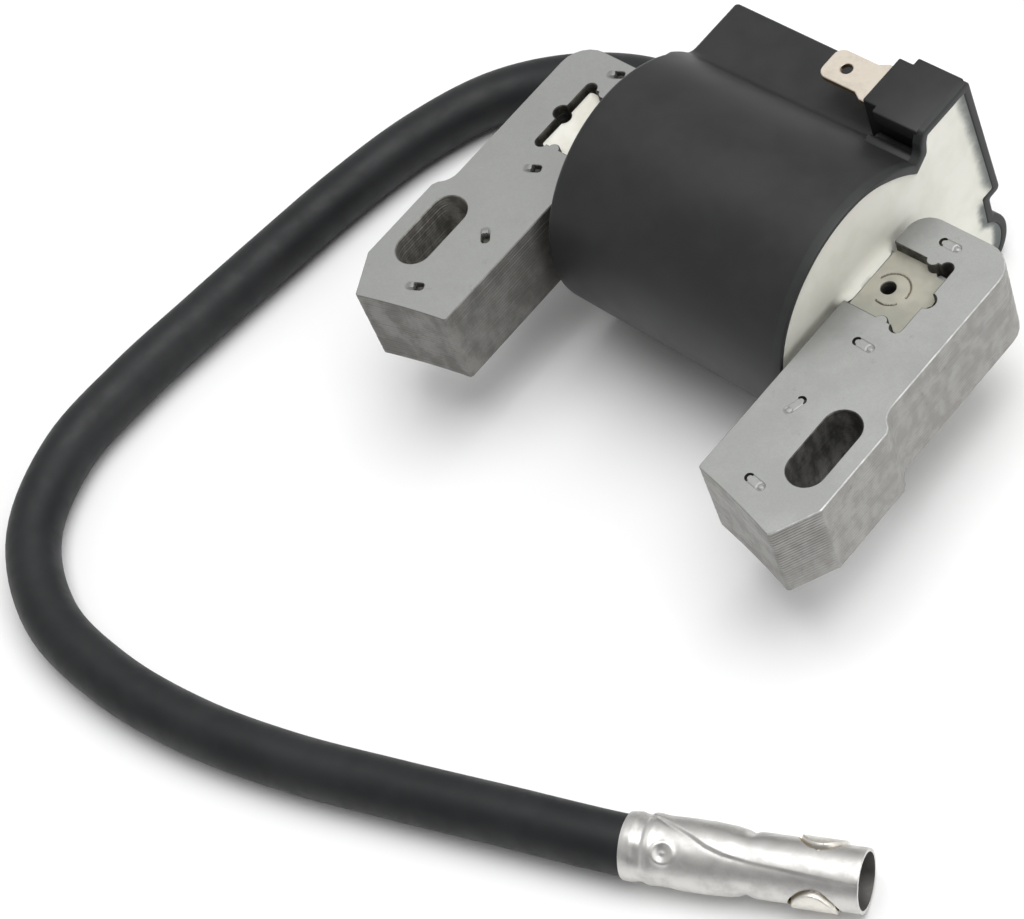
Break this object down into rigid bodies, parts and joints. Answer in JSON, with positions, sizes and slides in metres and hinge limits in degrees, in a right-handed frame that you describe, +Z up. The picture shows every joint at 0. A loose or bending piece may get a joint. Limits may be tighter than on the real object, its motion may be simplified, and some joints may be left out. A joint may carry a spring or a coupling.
{
  "type": "flywheel ignition coil",
  "caption": "Small-engine ignition coil: slotted laminated legs, a potted can on the centre bar, a stop-switch tab, and a black plug lead ending in a crimped terminal.",
  "frame": {"origin": "midway between the two mounting slots, on the seat face under the core legs", "axes": "+X along the coil from the left leg to the right leg, -Y towards the flywheel, +Z up through the lamination stacks"},
  "size_m": [0.1337, 0.1175, 0.0347],
  "materials": {
    "lamination_steel": "bare cut edges, lightly oiled and stained",
    "pale_epoxy": "cured resin smear",
    "amber_epoxy": "cured resin smear",
    "bobbin_plastic": "moulded",
    "enamelled_copper": "enamelled wire",
    "insulation_film": "film",
    "housing_plastic": "satin moulded",
    "potting_epoxy": "cured resin",
    "tinned_brass": "stamped and tinned",
    "board_laminate": "solder mask",
    "component_body": "moulded",
    "capacitor_ceramic": "ceramic",
    "lead_rubber": "satin jacket",
    "plated_steel": "bright plated sheet"
  },
  "bodies": {
    "root": {"core_leg_left": "lamination_steel", "core_leg_right": "lamination_steel", "core_bar": "lamination_steel", "joint_epoxy_left": "pale_epoxy", "joint_epoxy_right": "amber_epoxy", "primary_bobbin": "bobbin_plastic", "primary_winding": "enamelled_copper", "insulation_wrap": "insulation_film", "secondary_bobbin": "bobbin_plastic", "secondary_winding": "enamelled_copper", "coil_housing": "housing_plastic", "potting": "potting_epoxy", "stop_switch_tab": "tinned_brass", "circuit_board": "board_laminate", "power_transistor": "component_body", "driver_transistor": "component_body", "bias_resistors": "component_body", "clamp_diode": "component_body", "filter_capacitor": "capacitor_ceramic", "primary_leads": "enamelled_copper", "ground_strap": "tinned_brass", "secondary_jumper": "enamelled_copper", "lead_contact": "tinned_brass", "spark_plug_lead": "lead_rubber", "lead_conductor": "enamelled_copper", "plug_terminal": "plated_steel", "terminal_spring": "plated_steel"}
  },
  "joints": []
}
